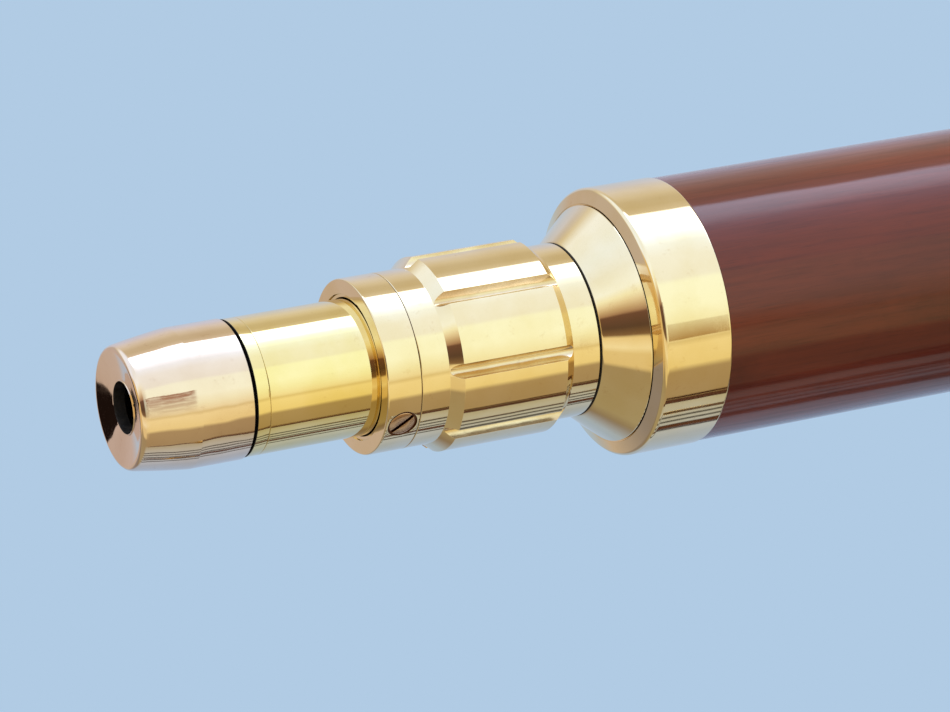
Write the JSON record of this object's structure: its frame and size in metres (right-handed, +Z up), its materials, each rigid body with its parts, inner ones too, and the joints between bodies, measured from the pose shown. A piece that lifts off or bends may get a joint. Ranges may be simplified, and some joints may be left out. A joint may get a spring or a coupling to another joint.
{
  "type": "telescope on tripod",
  "caption": "Brass and varnished wood refracting telescope with draw tube, fluted focusing sleeve and sunshade, tilting in a brass yoke on a folding wooden floor tripod.",
  "frame": {"origin": "on the floor, on the vertical axis that the yoke turns on", "axes": "+Z up; +X forwards, the way the objective points at rest; the tube tilts up 9.3 degrees at rest; +Y is to the left of the line of sight"},
  "size_m": [0.7593, 0.6266, 1.2668],
  "materials": {
    "rose_brass": "lacquered, rose tint, polished",
    "polished_brass": "turned and polished",
    "mount_brass": "cast and polished, aged",
    "blackened_brass": "matt black",
    "varnished_mahogany": "gloss varnish",
    "leg_mahogany": "satin varnish",
    "optical_glass": "polished",
    "oiled_leather": "oiled",
    "black_rubber": "matt"
  },
  "bodies": {
    "head": {"tripod_head": "mount_brass", "hinge_bolts": "mount_brass", "wing_nuts": "mount_brass"},
    "mount": {"yoke": "mount_brass", "azimuth_spindle": "mount_brass", "spindle_nut": "mount_brass"},
    "barrel": {"clamp_collar": "polished_brass", "clamp_screws": "polished_brass", "guide_bush": "oiled_leather", "focusing_sleeve": "polished_brass", "sleeve_grub_screw": "blackened_brass", "cone_adapter": "polished_brass", "rear_collar": "polished_brass", "wood_barrel": "varnished_mahogany", "barrel_liner": "blackened_brass", "front_sleeve": "polished_brass", "objective_cell": "polished_brass", "crown_lens": "optical_glass", "flint_lens": "optical_glass", "objective_retainer": "blackened_brass", "band_near": "polished_brass", "band_far": "polished_brass", "band_screws": "polished_brass", "pivot_washers": "oiled_leather"},
    "drawer": {"draw_tube": "polished_brass", "eyepiece_ring": "polished_brass", "eye_lens": "optical_glass", "field_lens": "optical_glass", "erector_cell": "blackened_brass", "erector_lens": "optical_glass"},
    "cap": {"eyepiece_cap": "rose_brass"},
    "shade": {"sunshade": "polished_brass"},
    "front_cap": {"dust_cap": "polished_brass"},
    "knob_near": {"tilt_knob_near": "mount_brass"},
    "knob_far": {"tilt_knob_far": "mount_brass"},
    "lock": {"azimuth_lock_screw": "mount_brass"},
    "leg_1": {"leg_top_1": "mount_brass", "leg_slats_1": "leg_mahogany", "leg_bolts_1": "mount_brass", "leg_clamp_1": "mount_brass"},
    "lower_1": {"lower_leg_1": "leg_mahogany", "foot_ferrule_1": "mount_brass", "foot_pad_1": "black_rubber"},
    "thumb_1": {"clamp_thumbscrew_1": "mount_brass"},
    "leg_2": {"leg_top_2": "mount_brass", "leg_slats_2": "leg_mahogany", "leg_bolts_2": "mount_brass", "leg_clamp_2": "mount_brass"},
    "lower_2": {"lower_leg_2": "leg_mahogany", "foot_ferrule_2": "mount_brass", "foot_pad_2": "black_rubber"},
    "thumb_2": {"clamp_thumbscrew_2": "mount_brass"},
    "leg_3": {"leg_top_3": "mount_brass", "leg_slats_3": "leg_mahogany", "leg_bolts_3": "mount_brass", "leg_clamp_3": "mount_brass"},
    "lower_3": {"lower_leg_3": "leg_mahogany", "foot_ferrule_3": "mount_brass", "foot_pad_3": "black_rubber"},
    "thumb_3": {"clamp_thumbscrew_3": "mount_brass"}
  },
  "joints": [
    {"name": "azimuth_turn", "type": "hinge", "parent": "head", "child": "mount", "pos_m": [0, 0, 1.0816], "axis": [0, 0, 1], "continuous": true},
    {"name": "altitude_tilt", "type": "hinge", "parent": "mount", "child": "barrel", "pos_m": [0, 0, 1.175], "axis": [0, -1, 0], "range_deg": [-25, 32]},
    {"name": "focus_draw", "type": "slide", "parent": "barrel", "child": "drawer", "axis": [-0.9869, 0, -0.1616], "range_m": [-0.0255, 0.118]},
    {"name": "cap_unscrew", "type": "hinge", "parent": "drawer", "child": "cap", "pos_m": [-0.36573, 0, 1.11511], "axis": [-0.9869, 0, -0.1616], "range_deg": [0, 540]},
    {"name": "sunshade_slide", "type": "slide", "parent": "barrel", "child": "shade", "axis": [0.9869, 0, 0.1616], "range_m": [0, 0.045]},
    {"name": "dust_cap_pull", "type": "slide", "parent": "shade", "child": "front_cap", "axis": [0.9869, 0, 0.1616], "range_m": [0, 0.03]},
    {"name": "tilt_knob_near_turn", "type": "hinge", "parent": "barrel", "child": "knob_near", "pos_m": [0, -0.05, 1.175], "axis": [0, -1, 0], "range_deg": [0, 360]},
    {"name": "tilt_knob_far_turn", "type": "hinge", "parent": "barrel", "child": "knob_far", "pos_m": [0, 0.05, 1.175], "axis": [0, 1, 0], "range_deg": [0, 360]},
    {"name": "azimuth_lock_turn", "type": "hinge", "parent": "head", "child": "lock", "pos_m": [-0.04, 0, 1.0416], "axis": [-1, 0, 0], "range_deg": [0, 360]},
    {"name": "leg_fold_1", "type": "hinge", "parent": "head", "child": "leg_1", "pos_m": [0.05, 0, 1.0456], "axis": [0, 1, 0], "range_deg": [0, 16]},
    {"name": "leg_extend_1", "type": "slide", "parent": "leg_1", "child": "lower_1", "axis": [0.2756, 0, -0.9613], "range_m": [-0.24, 0.2]},
    {"name": "leg_clamp_turn_1", "type": "hinge", "parent": "leg_1", "child": "thumb_1", "pos_m": [0.24288, 0, 0.44552], "axis": [0.9613, 0, 0.2756], "range_deg": [0, 360]},
    {"name": "leg_fold_2", "type": "hinge", "parent": "head", "child": "leg_2", "pos_m": [-0.025, 0.0433, 1.0456], "axis": [-0.866, -0.5, 0], "range_deg": [0, 16]},
    {"name": "leg_extend_2", "type": "slide", "parent": "leg_2", "child": "lower_2", "axis": [-0.1378, 0.2387, -0.9613], "range_m": [-0.24, 0.2]},
    {"name": "leg_clamp_turn_2", "type": "hinge", "parent": "leg_2", "child": "thumb_2", "pos_m": [-0.12144, 0.21034, 0.44552], "axis": [-0.4806, 0.8325, 0.2756], "range_deg": [0, 360]},
    {"name": "leg_fold_3", "type": "hinge", "parent": "head", "child": "leg_3", "pos_m": [-0.025, -0.0433, 1.0456], "axis": [0.866, -0.5, 0], "range_deg": [0, 16]},
    {"name": "leg_extend_3", "type": "slide", "parent": "leg_3", "child": "lower_3", "axis": [-0.1378, -0.2387, -0.9613], "range_m": [-0.24, 0.2]},
    {"name": "leg_clamp_turn_3", "type": "hinge", "parent": "leg_3", "child": "thumb_3", "pos_m": [-0.12144, -0.21034, 0.44552], "axis": [-0.4806, -0.8325, 0.2756], "range_deg": [0, 360]}
  ]
}
